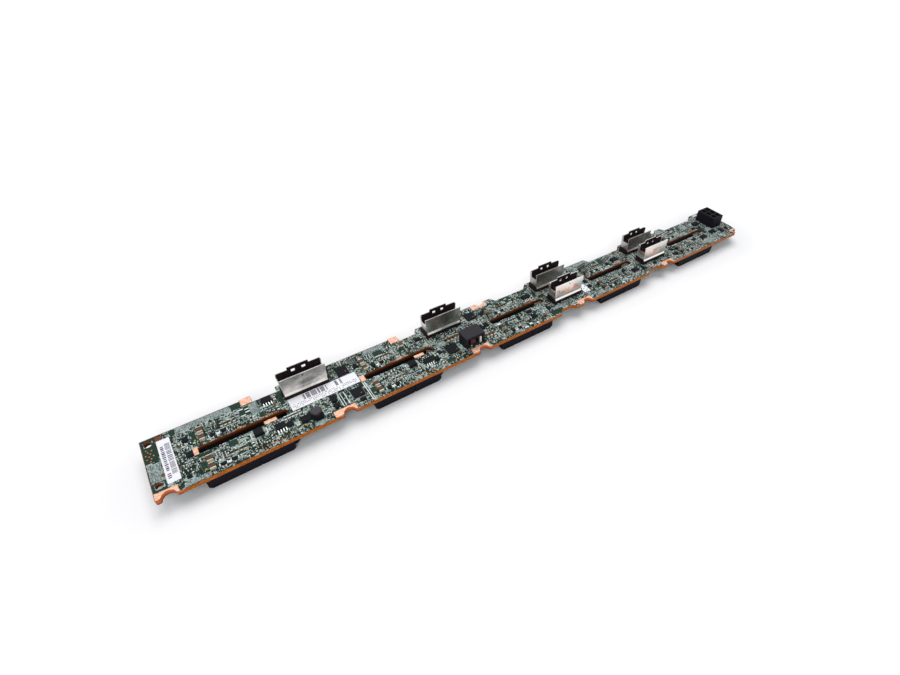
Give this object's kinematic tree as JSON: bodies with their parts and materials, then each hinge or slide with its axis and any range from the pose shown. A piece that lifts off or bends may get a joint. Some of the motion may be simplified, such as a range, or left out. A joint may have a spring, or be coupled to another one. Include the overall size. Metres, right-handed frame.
{
  "type": "drive backplane board",
  "caption": "Long narrow server backplane board lying on its drive connectors, with shielded cable sockets, power sockets and small chips on top.",
  "frame": {"origin": "middle of the overall box at its base, on the mating faces of the drive connectors", "axes": "+X along the board from its screw-hole end to its power socket end, +Y from the edge with the round notches to the edge with the wide recesses, +Z out of the component side"},
  "size_m": [0.4174, 0.0384, 0.025],
  "materials": {
    "board": "dark green solder mask over fibreglass, brown cut edges",
    "black_plastic": "black moulded connector plastic",
    "gold_contact": "thin gold plating",
    "steel_shell": "plain plated steel sheet",
    "tinned_metal": "bright tinned metal",
    "chip_moulding": "dark grey moulded packages",
    "ferrite": "dark grey sintered core",
    "brown_ceramic": "brown glazed chip capacitors",
    "dark_ceramic": "black film on small ceramic chips",
    "label_paper": "white coated paper"
  },
  "bodies": {
    "root": {"circuit_board": "board", "drive_socket_01": "black_plastic", "drive_contacts_01": "gold_contact", "drive_socket_02": "black_plastic", "drive_contacts_02": "gold_contact", "drive_socket_03": "black_plastic", "drive_contacts_03": "gold_contact", "drive_socket_04": "black_plastic", "drive_contacts_04": "gold_contact", "drive_socket_05": "black_plastic", "drive_contacts_05": "gold_contact", "drive_socket_06": "black_plastic", "drive_contacts_06": "gold_contact", "drive_socket_07": "black_plastic", "drive_contacts_07": "gold_contact", "drive_socket_08": "black_plastic", "drive_contacts_08": "gold_contact", "drive_socket_09": "black_plastic", "drive_contacts_09": "gold_contact", "drive_socket_10": "black_plastic", "drive_contacts_10": "gold_contact", "cable_shell_1": "steel_shell", "cable_insulator_1": "black_plastic", "cable_contacts_1": "gold_contact", "cable_shell_2": "steel_shell", "cable_insulator_2": "black_plastic", "cable_contacts_2": "gold_contact", "cable_shell_3": "steel_shell", "cable_insulator_3": "black_plastic", "cable_contacts_3": "gold_contact", "cable_shell_4": "steel_shell", "cable_insulator_4": "black_plastic", "cable_contacts_4": "gold_contact", "cable_shell_5": "steel_shell", "cable_insulator_5": "black_plastic", "cable_contacts_5": "gold_contact", "cable_shell_6": "steel_shell", "cable_insulator_6": "black_plastic", "cable_contacts_6": "gold_contact", "mid_power_housing": "black_plastic", "mid_power_contacts": "gold_contact", "end_power_housing": "black_plastic", "end_power_pins": "tinned_metal", "quad_chips": "chip_moulding", "controller_chip": "chip_moulding", "regulator_chip": "chip_moulding", "small_chips": "chip_moulding", "transistor_bodies": "chip_moulding", "transistor_leads": "tinned_metal", "coil_base": "chip_moulding", "coil_core": "ferrite", "power_diodes": "chip_moulding", "diode_tabs": "tinned_metal", "ceramic_capacitors": "brown_ceramic", "chip_resistors": "dark_ceramic", "signal_diodes": "chip_moulding", "paper_labels": "label_paper"}
  },
  "joints": []
}
